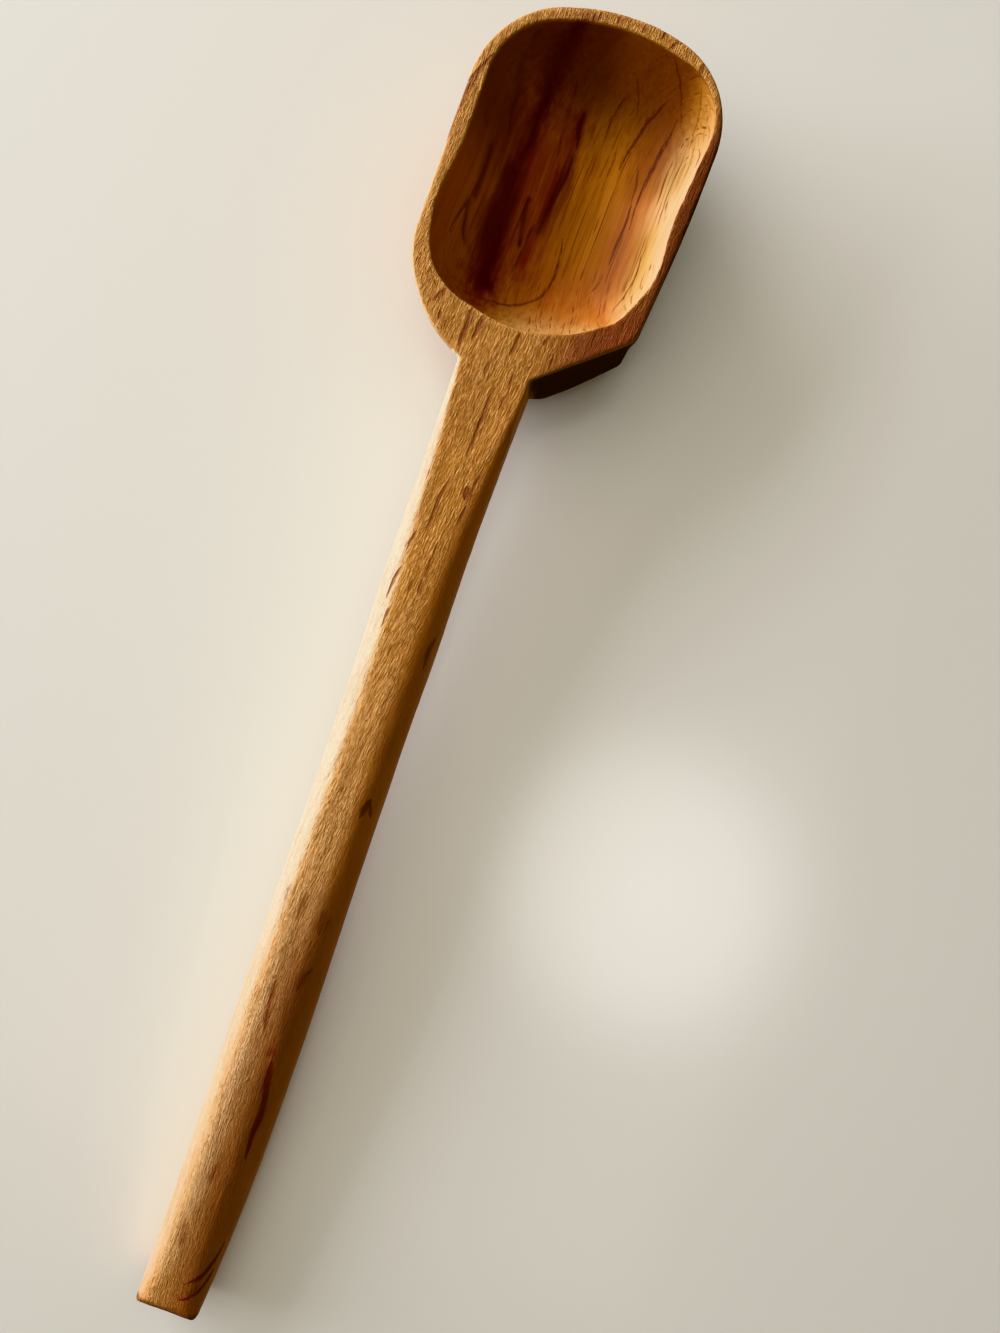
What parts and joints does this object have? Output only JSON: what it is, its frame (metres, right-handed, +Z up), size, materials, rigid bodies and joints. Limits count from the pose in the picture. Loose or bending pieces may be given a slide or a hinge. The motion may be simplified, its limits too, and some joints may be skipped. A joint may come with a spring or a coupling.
{
  "type": "wooden spoon",
  "caption": "Carved wooden cooking spoon with a deep, steep-walled rectangular bowl, flat rim, square shoulders and a straight round handle.",
  "frame": {"origin": "middle of the small flat foot under the bowl, on the surface that the spoon lies on", "axes": "+X along the spoon from the handle towards the tip of the bowl, +Y to the left as seen from the handle, +Z up out of the bowl"},
  "size_m": [0.2862, 0.052, 0.0303],
  "materials": {
    "wood": "oiled, satin, with dark growth rings and a red streak of heartwood"
  },
  "bodies": {
    "root": {"spoon": "wood"}
  },
  "joints": []
}
